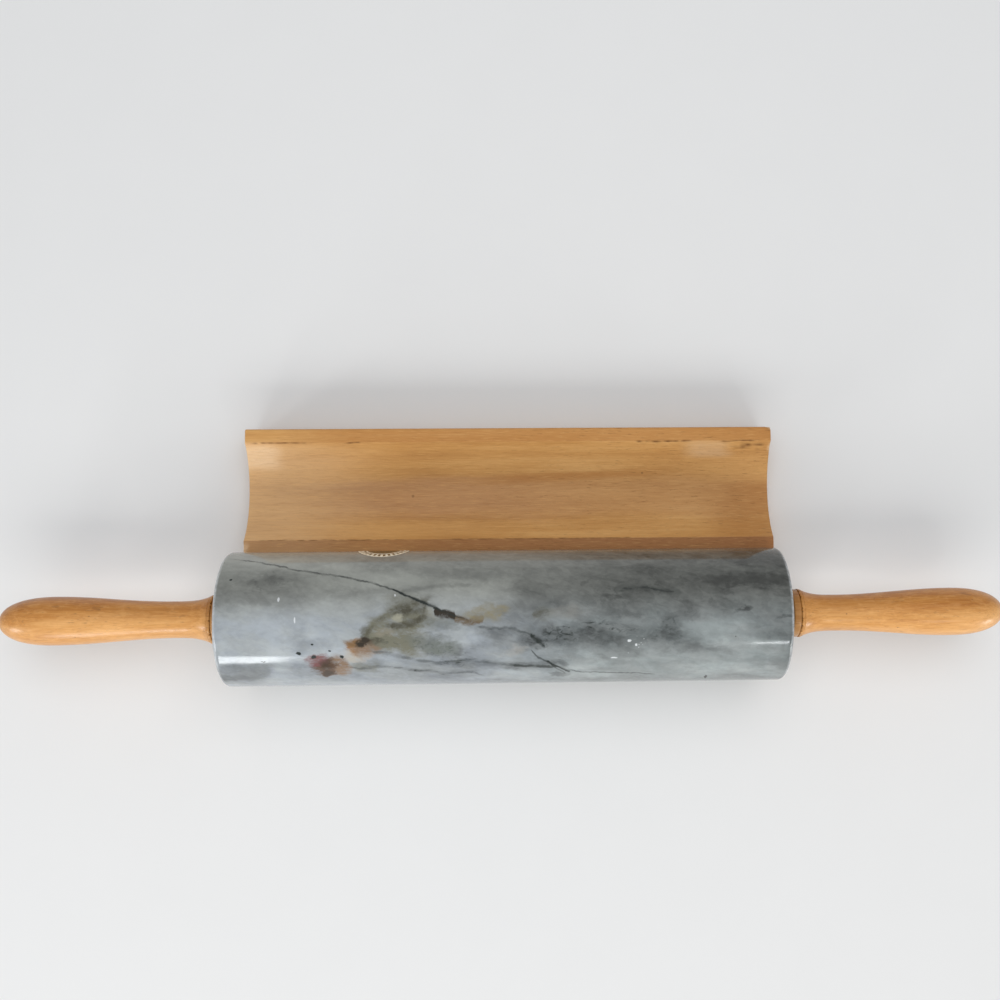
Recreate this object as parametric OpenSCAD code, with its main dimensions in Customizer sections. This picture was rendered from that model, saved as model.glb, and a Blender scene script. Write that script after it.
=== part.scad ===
// Marble rolling pin with turned wooden handles, lying in front of its wooden cradle.
// The origin is the middle of the cradle's underside, X runs along the pin and +Z is up.

/* [Barrel] */
// Length of the marble barrel
barrel_len = 254; // [200:1:300]
// Diameter of the marble barrel
barrel_d = 61.2; // [50:0.1:75]
// Radius of the rounded edge at each end of the barrel
barrel_edge_r = 2.5; // [1:0.5:5]
// Diameter of the bore through the barrel
bore_d = 13; // [12:0.5:18]

/* [Label] */
// Width of the oval foil label, along the barrel
label_w = 23.5; // [10:0.5:60]
// Height of the label, round the barrel
label_h = 21; // [8:0.5:40]
// Thickness of the foil
label_t = 0.15; // [0.1:0.05:0.5]
// Place of the label's middle along the barrel, from the barrel's middle
label_at = -56; // [-90:0.1:90]
// Place of the label's middle round the barrel, in degrees from the top towards the cradle
label_turn = 83.5; // [0:0.5:180]

/* [Bearings] */
// Length of a bushing's sleeve inside the bore
sleeve_len = 22; // [12:1:40]
// Diameter of a bushing's flange
flange_d = 20; // [19:0.5:30]
// Thickness of a bushing's flange
flange_t = 1.5; // [1:0.1:3]
// Diameter of a thrust washer
washer_d = 17; // [14:0.5:24]
// Thickness of a thrust washer
washer_t = 1; // [0.6:0.1:2]

/* [Axle] */
// Diameter of the steel rod through the barrel
rod_d = 8; // [6:0.5:9]
// Outer diameter of the threaded insert in a handle
insert_d = 11; // [10:0.5:14]
// Length of the threaded insert in a handle
insert_len = 20; // [10:1:30]

/* [Collars] */
// Diameter of the wooden collar between barrel and handle
collar_d = 22; // [18:0.2:30]
// Thickness of a collar
collar_t = 3.4; // [3:0.2:12]
// Radius of the rounded edge of a collar
collar_edge_r = 0.6; // [0.2:0.1:1.2]

/* [Handles] */
// Diameter of the rim around a handle's foot, next to the collar
rim_d = 22.4; // [20:0.1:30]
// Length of the rim
rim_len = 1.4; // [1:0.1:8]
// Radius of the rim's rounded edges
rim_edge_r = 0.4; // [0.1:0.1:0.5]
// Height of the small step from the rim down to the cove
rim_step = 0.2; // [0.1:0.1:1]
// Diameter of a handle's neck
neck_d = 16.7; // [16:0.1:22]
// Distance of the neck from the foot
neck_at = 19; // [14:0.2:32]
// Diameter of a handle at its fullest
grip_d = 22.1; // [19:0.1:32]
// Distance of the fullest place from the foot
grip_at = 72; // [55:0.2:90]
// Length of a handle's rounded end past its fullest place
end_len = 25.1; // [15:0.1:35]
// Depth of the empty space behind the rod in a handle's hole
hole_spare = 3; // [1:0.5:8]

/* [Cradle] */
// Length of the cradle
cradle_len = 251; // [180:1:320]
// Width of the cradle
cradle_w = 59.5; // [50:0.5:80]
// Height of the cradle
cradle_h = 22; // [18:0.5:28]
// Width of the flat land on each side of the trough
land_w = 6.6; // [3:0.5:10]
// Width of the small bevel along the cradle's edges
cradle_bevel = 0.6; // [0.2:0.1:2]

/* [Layout and clearances] */
// Shift of the rod's middle from the cradle's middle, along the pin
pin_shift = -1.1; // [-20:0.1:20]
// Place of the barrel in its end play, from -1 at the left to 1 at the right
barrel_slide = -0.9; // [-1:0.1:1]
// Gap between the cradle's front edge and the label as it passes, when the barrel turns
pin_gap = 0.15; // [0.1:0.05:30]
// Radial clearance of the rod in its bushings
run_clear = 0.08; // [0.04:0.01:0.1]
// Radial clearance of the rod in the washers and collars
loose_clear = 0.25; // [0.1:0.05:0.5]
// End play between a bushing's flange and its washer, when the barrel is in the middle
end_play = 1.2; // [0.1:0.1:3]
// Radial room between barrel and trough when the pin lies in the cradle
trough_clear = 0.5; // [0.2:0.1:3]

/* [Hidden] */

// Facets of the round pieces
round_fn = 96;
// Points on a rounded edge and on each stretch of a handle's outline
edge_steps = 8;
outline_steps = 12;
// How fast the cove behind the rim falls to the neck, and how full the rounded end is
cove_power = 3.4;
end_power = 2.3;
// Corners of the label's oval outline
label_steps = 48;
// Extra length of a cutting tool past the face that it cuts
cut_over = 1;

barrel_r = barrel_d / 2;
barrel_half = barrel_len / 2;
washer_at = barrel_half + flange_t + end_play;
collar_at = washer_at + washer_t;
foot_at = collar_at + collar_t;
rod_half = foot_at + insert_len;

// Diameter of a handle where its cove starts
cove_d = rim_d - 2 * rim_step;

// The pin lies on the same surface as the cradle, close to its front edge
label_r = barrel_r + label_t;
reach_at_edge = sqrt(pow(label_r, 2) - pow(barrel_r - min(cradle_h, barrel_r), 2));
pin_y = -(cradle_w / 2 + reach_at_edge + pin_gap);
pin_z = barrel_r;

// The trough is an arc that fits the barrel and leaves a land on each side
trough_r = barrel_r + trough_clear;
trough_half = cradle_w / 2 - land_w;
trough_z = cradle_h + sqrt(pow(trough_r, 2) - pow(trough_half, 2));

// Places its children on the rod's axis, with their +Z pointing from its middle to one end
module toward(dir) {
    translate([pin_shift, pin_y, pin_z]) rotate([0, 90 * dir, 0]) children();
}

// Does the same from the barrel's middle
module on_barrel(dir) {
    translate([barrel_slide * end_play, 0, 0]) toward(dir) children();
}

// Points of a quarter circle from angle a0 to a0 + 90, as [radius, height]
function corner(cr, cz, r, a0) =
    [for (i = [0:edge_steps]) let (a = a0 + 90 * i / edge_steps) [cr + r * cos(a), cz + r * sin(a)]];

// Outline of a solid of revolution with rounded outer edges and a hole of radius hole_r
function ring_outline(hole_r, outer_r, z0, z1, edge_r) = concat(
    [[hole_r, z0]],
    corner(outer_r - edge_r, z0 + edge_r, edge_r, -90),
    corner(outer_r - edge_r, z1 - edge_r, edge_r, 0),
    [[hole_r, z1]]);

// Radius of a handle at share t of each of its three stretches
function cove_radius(t) = neck_d / 2 + (cove_d - neck_d) / 2 * pow(1 - t, cove_power);
function swell_radius(t) = neck_d / 2 + (grip_d - neck_d) / 2 * (1 - cos(180 * t)) / 2;
function end_radius(t) = grip_d / 2 * pow(1 - pow(t, end_power), 1 / end_power);

// Outline of a handle from the middle of its foot, as [radius, height above the foot]
handle_outline = concat(
    [[0, 0]],
    corner(rim_d / 2 - rim_edge_r, rim_edge_r, rim_edge_r, -90),
    corner(rim_d / 2 - rim_edge_r, rim_len - rim_edge_r, rim_edge_r, 0),
    [for (i = [0:outline_steps])
        let (t = i / outline_steps) [cove_radius(t), rim_len + (neck_at - rim_len) * t]],
    [for (i = [1:outline_steps])
        let (t = i / outline_steps) [swell_radius(t), neck_at + (grip_at - neck_at) * t]],
    [for (i = [1:outline_steps])
        let (t = sin(90 * i / outline_steps)) [end_radius(t), grip_at + end_len * t]]);

module marble_barrel() {
    color("lightsteelblue")
        on_barrel(1)
        rotate_extrude($fn = round_fn)
        polygon(ring_outline(bore_d / 2, barrel_r, -barrel_half, barrel_half, barrel_edge_r));
}

// Thin oval of foil stuck round the barrel
module foil_label() {
    color("gold")
        on_barrel(1)
        intersection() {
            translate([0, 0, label_at - label_w])
                difference() {
                    cylinder(r = label_r, h = 2 * label_w, $fn = round_fn);
                    translate([0, 0, -cut_over])
                        cylinder(r = barrel_r, h = 2 * (label_w + cut_over), $fn = round_fn);
                }
            translate([0, 0, label_at])
                rotate([0, 0, 180 - label_turn])
                rotate([0, 90, 0])
                linear_extrude(barrel_d)
                polygon([for (i = [1:label_steps])
                    let (a = 360 * i / label_steps) [label_w / 2 * cos(a), label_h / 2 * sin(a)]]);
        }
}

// Flanged sleeve pressed into one end of the bore
module bushing(dir) {
    color("ivory")
        on_barrel(dir)
        difference() {
            union() {
                translate([0, 0, barrel_half - sleeve_len])
                    cylinder(d = bore_d, h = sleeve_len + flange_t, $fn = round_fn);
                translate([0, 0, barrel_half])
                    cylinder(d = flange_d, h = flange_t, $fn = round_fn);
            }
            translate([0, 0, barrel_half - sleeve_len - cut_over])
                cylinder(d = rod_d + 2 * run_clear, h = sleeve_len + flange_t + 2 * cut_over,
                    $fn = round_fn);
        }
}

// One rod runs from handle to handle and is screwed into both
module axle_rod() {
    color("silver")
        toward(1)
        translate([0, 0, -rod_half])
        cylinder(d = rod_d, h = 2 * rod_half, $fn = round_fn);
}

module washer(dir) {
    color("gray")
        toward(dir)
        translate([0, 0, washer_at])
        difference() {
            cylinder(d = washer_d, h = washer_t, $fn = round_fn);
            translate([0, 0, -cut_over])
                cylinder(d = rod_d + 2 * loose_clear, h = washer_t + 2 * cut_over, $fn = round_fn);
        }
}

// Wooden ring that keeps the handle off the marble
module collar(dir) {
    color("saddlebrown")
        toward(dir)
        translate([0, 0, collar_at])
        rotate_extrude($fn = round_fn)
        polygon(ring_outline(rod_d / 2 + loose_clear, collar_d / 2, 0, collar_t, collar_edge_r));
}

// Turned handle with a blind hole for the insert and the rod's end
module handle(dir) {
    color("burlywood")
        toward(dir)
        translate([0, 0, foot_at])
        difference() {
            rotate_extrude($fn = round_fn) polygon(handle_outline);
            translate([0, 0, -cut_over])
                cylinder(d = insert_d, h = insert_len + hole_spare + cut_over, $fn = round_fn);
        }
}

module insert(dir) {
    color("goldenrod")
        toward(dir)
        translate([0, 0, foot_at])
        difference() {
            cylinder(d = insert_d, h = insert_len, $fn = round_fn);
            translate([0, 0, -cut_over])
                cylinder(d = rod_d, h = insert_len + 2 * cut_over, $fn = round_fn);
        }
}

// Solid block with bevelled edges and a round trough along its top
module cradle() {
    color("tan")
        difference() {
            intersection() {
                bevelled_bar([90, 0, 90], cradle_w, cradle_h, cradle_len);
                bevelled_bar([90, 0, 0], cradle_len, cradle_h, cradle_w);
            }
            translate([-cradle_len / 2 - cut_over, 0, trough_z])
                rotate([0, 90, 0])
                cylinder(r = trough_r, h = cradle_len + 2 * cut_over, $fn = 2 * round_fn);
        }
}

// Bar of width w and height h, standing on the surface, with its four long edges bevelled
module bevelled_bar(turn, w, h, length) {
    rotate(turn)
        translate([0, 0, -length / 2])
        linear_extrude(length)
        polygon([
            [-w / 2 + cradle_bevel, 0],
            [w / 2 - cradle_bevel, 0],
            [w / 2, cradle_bevel],
            [w / 2, h - cradle_bevel],
            [w / 2 - cradle_bevel, h],
            [-w / 2 + cradle_bevel, h],
            [-w / 2, h - cradle_bevel],
            [-w / 2, cradle_bevel]]);
}

marble_barrel();
foil_label();
bushing(-1);  // bushing_left
bushing(1);  // bushing_right
axle_rod();
washer(-1);  // washer_left
washer(1);  // washer_right
collar(-1);  // collar_left
collar(1);  // collar_right
handle(-1);  // handle_left
handle(1);  // handle_right
insert(-1);  // insert_left
insert(1);  // insert_right
cradle();
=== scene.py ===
"""Looks of a marble rolling pin and its wooden cradle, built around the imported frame."""
import math

import bmesh
import bpy
from mathutils import Euler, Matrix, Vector, noise


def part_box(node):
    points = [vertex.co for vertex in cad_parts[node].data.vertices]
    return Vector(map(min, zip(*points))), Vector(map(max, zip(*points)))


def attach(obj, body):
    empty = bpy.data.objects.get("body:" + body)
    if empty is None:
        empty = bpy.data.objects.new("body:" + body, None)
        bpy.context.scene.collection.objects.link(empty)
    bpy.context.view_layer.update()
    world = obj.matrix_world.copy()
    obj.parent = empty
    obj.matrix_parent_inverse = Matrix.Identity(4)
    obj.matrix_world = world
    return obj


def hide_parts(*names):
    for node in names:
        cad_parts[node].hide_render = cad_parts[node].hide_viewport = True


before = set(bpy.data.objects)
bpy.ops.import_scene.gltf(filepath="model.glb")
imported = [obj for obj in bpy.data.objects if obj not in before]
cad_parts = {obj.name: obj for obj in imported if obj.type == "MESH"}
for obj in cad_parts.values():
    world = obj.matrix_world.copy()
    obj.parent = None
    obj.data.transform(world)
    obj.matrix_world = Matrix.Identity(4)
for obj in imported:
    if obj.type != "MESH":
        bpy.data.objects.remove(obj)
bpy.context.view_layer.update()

BARREL_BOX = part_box("marble_barrel")
BARREL_MID = (BARREL_BOX[0] + BARREL_BOX[1]) / 2
BARREL_R = (BARREL_BOX[1].z - BARREL_BOX[0].z) / 2
BARREL_HALF = (BARREL_BOX[1].x - BARREL_BOX[0].x) / 2
CRADLE_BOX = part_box("cradle")
MM = 1000.0
BARREL_R_MM = BARREL_R * MM
BARREL_END_MM = BARREL_HALF * MM
HALF_TURN = 180.0
WELD = 1e-6

bl_info = {
    "name": "Marble Rolling Pin",
    "version": (1, 0, 0),
    "blender": (4, 5, 0),
    "location": "View3D > Sidebar > Rolling Pin",
    "description": "Finishes the marble barrel, the turned handles and the wooden cradle",
    "category": "Object",
}


class Value:
    """One number of a material: Python's operators on it add Math nodes."""

    def __init__(self, recipe, socket):
        self.recipe = recipe
        self.socket = socket

    def math(self, operation, *others):
        inputs = dict(enumerate((self, *others)))
        return self.recipe.node("ShaderNodeMath", {"operation": operation}, inputs)

    def turned(self, operation, other):
        return self.recipe.node("ShaderNodeMath", {"operation": operation}, {0: other, 1: self})

    def parts(self):
        """The three numbers of a vector or a colour."""
        kind = "ShaderNodeSeparateColor" if self.socket.type == "RGBA" else "ShaderNodeSeparateXYZ"
        split = self.recipe.node(kind, {}, {0: self})
        return [Value(self.recipe, output) for output in split.socket.node.outputs]

    def capped(self):
        return self.math("MINIMUM", 1.0)

    def spread(self, middle, half):
        """The number measured from a middle, where 1 is half an oval away."""
        return self.math("MULTIPLY_ADD", 1 / half, -middle / half)

    def __add__(self, other):
        return self.math("ADD", other)

    def __sub__(self, other):
        return self.math("SUBTRACT", other)

    def __mul__(self, other):
        return self.math("MULTIPLY", other)

    def __truediv__(self, other):
        return self.math("DIVIDE", other)

    def __rsub__(self, other):
        return self.turned("SUBTRACT", other)

    def __rtruediv__(self, other):
        return self.turned("DIVIDE", other)

    __radd__ = __add__
    __rmul__ = __mul__

    def __abs__(self):
        return self.math("ABSOLUTE")


class Recipe:
    """A material under construction, with one method for any node."""

    def __init__(self, name):
        self.material = bpy.data.materials.new(name)
        self.material.use_nodes = True
        self.tree = self.material.node_tree
        self.tree.nodes.clear()

    def node(self, kind, settings=None, inputs=None, output=0):
        made = self.tree.nodes.new(kind)
        for key, value in (settings or {}).items():
            if key == "stops":
                self.set_stops(made.color_ramp, value)
            elif key == "bends":
                self.set_bends(made.mapping, value)
            else:
                setattr(made, key, value)
        for key, value in (inputs or {}).items():
            if isinstance(value, Value):
                self.tree.links.new(value.socket, made.inputs[key])
            elif made.inputs[key].type == "RGBA":
                made.inputs[key].default_value = (*value, 1.0)
            else:
                made.inputs[key].default_value = value
        return Value(self, made.outputs[output]) if made.outputs else None

    def set_stops(self, ramp, stops):
        while len(ramp.elements) < len(stops):
            ramp.elements.new(1.0)
        for element, (place, colour) in zip(ramp.elements, stops):
            element.position = place
            element.color = (*colour, 1.0)

    def set_bends(self, mapping, bends):
        """Makes a curve of straight stretches, from 0 to 1, level beyond its ends."""
        mapping.extend = "HORIZONTAL"
        curve = mapping.curves[0]
        for place in bends[1:-1]:
            curve.points.new(*place)
        curve.points[0].location, curve.points[-1].location = bends[0], bends[-1]
        for bend in curve.points:
            bend.handle_type = "VECTOR"
        mapping.update()

    def point(self, centre=(0, 0, 0)):
        """Object coordinates in mm, measured from centre."""
        place = self.node("ShaderNodeTexCoord", output="Object")
        return self.node("ShaderNodeMapping", {}, {
            "Vector": place, "Location": [-c * MM for c in centre], "Scale": (MM, MM, MM)})

    def noise(self, point, along, across=None, detail=3.0, roughness=0.5, distortion=0.0, output=0):
        """Clouds that are about so many mm long and wide."""
        across = across or along
        scaled = self.node("ShaderNodeMapping", {}, {
            "Vector": point, "Scale": (1 / along, 1 / across, 1 / across)})
        return self.node("ShaderNodeTexNoise", {}, {
            "Vector": scaled, "Scale": 1.0, "Detail": detail, "Roughness": roughness,
            "Distortion": distortion}, output)

    def dots(self, point, spacing, radius, share):
        """Mask of small round dots, in one share of the cells that are spacing mm wide."""
        scaled = self.node("ShaderNodeMapping", {}, {"Vector": point, "Scale": (1 / spacing,) * 3})
        far = self.node("ShaderNodeTexVoronoi", {}, {"Vector": scaled, "Scale": 1.0})
        pick = Value(self, far.socket.node.outputs["Color"]).parts()
        size = pick[1] * (0.7 * radius / spacing) + 0.3 * radius / spacing
        return self.between(far / size, 1.0, 0.6) * self.between(pick[0], share, share * 0.95)

    def ramp(self, value, *stops):
        return self.node("ShaderNodeValToRGB", {"stops": stops}, {"Fac": value})

    def between(self, value, low, high, top=1.0):
        """0 at low, top at high and smooth in between."""
        return self.node("ShaderNodeMapRange", {"interpolation_type": "SMOOTHSTEP", "clamp": False}, {
            "Value": value, "From Min": low, "From Max": high, "To Max": top})

    def mix(self, share, first, second, blend="MIX"):
        return self.node("ShaderNodeMix", {"data_type": "RGBA", "blend_type": blend}, {
            0: share, 6: first, 7: second}, output=2)

    def finish(self, base, roughness, height=None, height_mm=0.1, **fixed):
        inputs = {"Base Color": base, "Roughness": roughness}
        if height is not None:
            inputs["Normal"] = self.node("ShaderNodeBump", {}, {
                "Height": height, "Distance": height_mm / MM, "Strength": 1.0})
        shader = self.node("ShaderNodeBsdfPrincipled", {}, {**inputs, **fixed})
        self.node("ShaderNodeOutputMaterial", {}, {"Surface": shader})
        return self.material


def dimmed(colour, share):
    return [c * share for c in colour]


# Places on the barrel are mm along it from its middle and degrees round it from the top, where
# positive is towards the cradle. A line is a row of places, from left to right.
MAIN_VEIN = (
    (-126, 63), (-113, 58), (-107, 54), (-98, 49.5), (-93.5, 45), (-88, 43.5), (-69.5, 36.5),
    (-57, 30.5), (-47, 22.5), (-35, 13), (-28, 6), (-19, 0), (-13, -3.5))
VEIN_CORE = ((-50, 25), (-47, 22.5), (-41, 17.5), (-35, 13), (-28, 7))
CRACK = (
    (-13, -6.5), (-6, -8.5), (0.6, -7.4), (4, -9.2), (6.6, -11.7), (8.4, -11.7), (12.7, -16),
    (15.7, -19.6), (17.2, -24.5))
CRACK_CORE = ((10.5, -14.5), (12.8, -18), (14.6, -21), (17.2, -24.5))
FORK = ((10.3, -25), (12.3, -31.5), (14, -35.6), (18.4, -39), (20.6, -42.5), (24.7, -49), (29, -54))
FORK_CORE = ((17.5, -38.6), (20.6, -42.5), (23, -45.5), (28.8, -52.5))
FORK_TWIN = ((19.3, -41), (23.4, -50.3), (26.5, -55))
THREAD = ((26, -49), (33, -52.8), (40, -53.8), (50, -55.6), (60, -56.7), (68, -59))
BRANCH = ((-47, 22.5), (-38, 25.5), (-27, 28), (-14, 28))
SHARDS = (
    ((20.3, -8), (23.2, -12.9), (25.3, -17.2), (30.5, -19.2)),
    ((15.5, -13.5), (24, -13.8), (30, -13.9)),
    ((35.3, -9.5), (39.7, -6.6), (44.6, -2.4)))
UPPER_LOW_VEIN = (
    (-63, -25), (-53, -28.5), (-43, -34), (-31, -39.5), (-27, -40), (-19.5, -37.5), (-13, -37.2),
    (-5, -39.8), (4, -43.8), (9, -45), (27, -45.2))
UPPER_LOW_CORE = ((2.5, -43.2), (9, -45), (14.5, -44.7), (21.5, -45.5))
LOWER_LOW_VEIN = (
    (-70, -42), (-64, -45), (-56, -43), (-46, -45), (-40, -48), (-33, -49), (-28, -53), (-15, -51.5),
    (-8, -60))
OLIVE_ARC = (
    (-62, -18), (-59.5, -10.5), (-56.7, -4.2), (-54, 0.4), (-50.7, 4.5), (-47.6, 8.4), (-44.6, 11),
    (-41, 12.4), (-36.5, 12.6))
OLIVE_STRAND = ((-57.5, -11), (-54.7, -5), (-52.7, -2.8), (-49.5, 1))
OLIVE_LOOP = ((-50.3, -5.4), (-46, -4.5), (-42.7, -4.6), (-41, -3), (-38.6, -2.3), (-36, 1))
UMBER = ((-31.4, 6), (-27, 3.4), (-21.5, 2.4))
OCHRE_TAIL = ((-23, 0.5), (-19, -2), (-16, -3), (-9, 0.5))
DARK_STREAK = ((46, 22), (51.6, 24), (57, 24.7), (65.7, 22.7), (71, 20.3), (78, 19.5))
DARK_STREAK_CORE = ((50.5, 24), (57, 24.6), (65.7, 22.9), (71, 20.5), (75, 20.8))

# A dark line: its places, half width and soft edge in mm, strength, how much of it is lost in its
# gaps, and how ragged it is
DARK_LINES = (
    (MAIN_VEIN, 0.1, 0.8, 0.75, 0.5),
    (VEIN_CORE, 0.2, 0.9, 0.5),
    (CRACK_CORE, 0.3, 1.1, 0.7, 0.0, 1.8),
    (CRACK, 0.15, 0.8, 0.55, 0.4),
    (FORK, 0.2, 0.7, 0.7),
    (FORK_CORE, 0.35, 0.6, 0.5),
    (FORK_TWIN, 0.1, 0.7, 0.5),
    (THREAD, 0.1, 0.5, 0.65),
    (BRANCH, 0.2, 1.6, 0.24),
    (UPPER_LOW_VEIN, 0.2, 1.3, 0.5, 0.7),
    (UPPER_LOW_CORE, 0.4, 1.2, 0.4),
    (LOWER_LOW_VEIN, 0.2, 1.2, 0.52, 0.7),
    (DARK_STREAK, 0.6, 2.0, 0.32),
    (DARK_STREAK_CORE, 0.1, 0.9, 0.45, 0.7))

# A blot: the place of its middle, its half length and half height in mm, and its strength
DARK_CLOUDS = (
    (-95, 27, 34, 6, 0.26), (-106, 32, 7, 2, 0.18), (-119, 30, 8, 9, 0.08), (-96, 22, 8, 2.5, 0.06),
    (-83, -22, 6, 3.4, 0.22), (-93, 2, 5, 6, 0.1), (-117, -48, 10, 4.5, 0.4), (-120, -60, 12, 4, 0.2),
    (-60, 52, 12, 4, 0.16), (-36, 44, 26, 4, 0.06), (-89, -17, 5, 4, 0.16), (-86, -45, 6, 3, 0.2),
    (-72, -57, 8, 4, 0.14), (-60, -42, 5, 2.5, 0.24), (-31, -20, 6, 3, 0.18), (-21, -25, 3, 2, 0.24),
    (-6, -9, 8, 2, 0.16), (21, -17, 11, 4, 0.22), (7, -21, 3, 3.5, 0.14), (14, 5, 4, 3, 0.06),
    (40, -16, 6, 4, 0.16), (30, 18, 24, 7, 0.15), (72, -10, 3.4, 5, 0.15), (62, 15, 16, 5, 0.1),
    (82.5, -30, 3.2, 2, 0.12), (-35, -47, 6, 1.6, 0.16), (94.5, -30, 4.2, 1.5, 0.14),
    (60, 41, 4, 2.4, 0.06), (67, 61, 4, 1.5, 0.12), (101, 60, 14, 5, 0.08), (111, 31, 15, 3.4, 0.17),
    (98, 12, 16, 5, 0.06), (106, 49, 3, 1.4, 0.08), (114, 47, 3, 1.2, 0.06), (88, 50, 48, 12, 0.1),
    (100, 22, 22, 4, 0.04), (48, 17.5, 4, 1.3, 0.1), (104.5, 2.4, 3, 0.7, 0.24), (116, 60, 12, 8, 0.12),
    (123, -1.5, 3, 0.7, 0.2), (94, 12, 2.2, 1.2, 0.1), (23, -56, 4, 1.2, 0.34), (-17, -54, 9, 3, 0.16),
    (10, -44, 8, 1.2, 0.18), (23, -43, 2.2, 1.6, 0.2), (-17, -39, 13, 2.2, 0.16), (80, 3, 5, 3, 0.1),
    (34, 29, 1.2, 0.8, 0.12), (13.5, -21, 3, 2.4, 0.16))
# Some pale blots low on the front, from -50 to -60 degrees, are partly painted light: they brighten the
# lower edge as a reflection of the pale floor would.
PALE_CLOUDS = (
    (-72, 0, 19, 13, 0.14), (-108, -12, 18, 9, 0.14), (-104, 50, 20, 4, 0.06), (-66, 40, 16, 5, 0.22),
    (-47, 33, 10, 4, 0.16), (-14, 21, 14, 6, 0.24), (-25, 13, 10, 4, 0.06), (-18, -14, 8, 4, 0.34),
    (-35, -11, 5, 2, 0.2), (94, -15, 14, 5, 0.24), (66, -50, 34, 7, 0.26), (34, -40, 7, 4, 0.22),
    (98, -42, 20, 7, 0.12), (0, -58, 14, 4, 0.3), (60, -32, 20, 4, 0.12), (27, 4, 8, 4, 0.12),
    (108, -28, 14, 4, 0.22), (104, -4, 18, 4, 0.1), (118, -59, 12, 3, 0.24), (36, -60, 10, 3, 0.16),
    (10, -30, 12, 4, 0.16), (-6, 18, 8, 5, 0.08), (-80, -30, 18, 4, 0.1), (70, 10, 30, 7, 0.08))
SPLINTERS = (
    (23.5, -13, 5.5, 2.6, 1.3), (12, -20, 5, 3, 0.9), (38, -14, 9, 4, 0.6), (57, 23.5, 12, 1.5, 0.6),
    (25, -21, 7, 2, 0.6), (40, -7, 6, 1.5, 0.9), (46, -5, 6, 2, 0.5), (53, -12, 5, 2, 0.8),
    (71, -5, 3, 3.4, 0.9), (68, -17, 7, 2.6, 0.7), (-22, -27, 8, 3, 0.5), (-33, -20, 7, 4, 0.5),
    (-21, -38, 12, 1.6, 0.7), (-37, -48, 7, 1, 0.7), (-105, 31, 9, 4, 0.4), (-50, -20, 6, 3, 0.5))
PITS = (
    (-90, -28.6, 1.1, 0.9), (-83.7, -31.7, 1.1, 0.9), (-71.4, -32, 0.9, 0.8), (-76.4, -26.3, 0.6, 0.5),
    (-83.7, -19.7, 0.6, 0.5), (-120, 35, 0.6, 0.5), (89.8, -66, 0.6, 2.2), (-105.5, -36.5, 1.2, 0.3))
CRYSTALS = (
    (-98.4, 16.7, 0.5, 1.1), (-91, 0.3, 0.35, 1.5), (-48, 19.8, 0.4, 0.25), (47.5, -36, 1.4, 0.4),
    (54, -20.5, 0.9, 0.5), (57, -24, 0.5, 0.5))

# Stains from the lowest to the topmost: colour, width of the soft edge, blots
FIRST_STAINS = (
    ("olive_pale", 0.8, (
        (-46, -13, 10, 7, 0.85), (-57, -12, 4, 4, 0.4), (-46, -23, 9, 3, 0.55), (-57, -23, 4, 4, 0.6),
        (-36, 1, 6, 3, 0.6), (-45, 10, 7, 4, 0.5), (18, 2.5, 3, 2.6, 0.25), (-63, -43, 5, 2.4, 0.5))),
    ("olive_grey", 0.8, ((-33, -20, 7, 3, 0.6), (-26, -23, 6, 2.4, 0.5), (-28, -3, 6, 2, 0.4))),
    ("beige", 0.8, (
        (-65.5, -31.5, 4.5, 2.4, 0.7), (-52, -12, 3, 1.6, 0.2), (4, -26.5, 3, 2, 0.2),
        (25, 4, 5, 2.6, 0.12))))
LAST_STAINS = (
    ("olive", 0.8, (
        (-45.5, 8, 4.6, 1.5, 1.0), (-36, 4, 1.5, 2.6, 0.7), (-40, -1.8, 2.6, 1.4, 0.7),
        (-47, -5, 3.6, 1.1, 0.6), (-58, -18, 3, 1.4, 0.9), (16.7, 2.8, 1.6, 1.5, 0.6),
        (-60.5, -13, 1.8, 3, 0.6), (-37.5, 12, 1.8, 1.8, 0.5))),
    ("cream", 0.7, ((-48, 1.6, 2.4, 1.3, 0.7), (-33.5, 6.5, 2.5, 1.2, 0.3))),
    ("khaki", 0.8, ((-9.5, 5.8, 6.5, 2.6, 0.7), (-3.5, 6.4, 2, 1.4, 0.3))),
    ("amber", 0.7, ((-64.4, -22, 3.4, 3.6, 1.0),)),
    ("rust", 0.7, ((-65.4, -18, 3.4, 1.7, 0.9),)),
    ("tan_stain", 0.75, ((-60.5, -25, 3.6, 3.6, 0.9), (-74, -43.5, 3.8, 4.6, 1.1))),
    ("red_stain", 0.7, ((-80.4, -44.5, 3.4, 4, 1.2), (-79.5, -50, 2.4, 1.6, 0.9))),
    ("rose", 0.7, ((-82.6, -37.5, 2.6, 2.4, 1.0),)),
    ("umber", 0.8, (
        (-61.2, -18, 2.7, 2.1, 1.2), (-80, -50.5, 1.8, 1.2, 0.9), (-80.5, -43, 1.4, 2, 0.5))))


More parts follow.
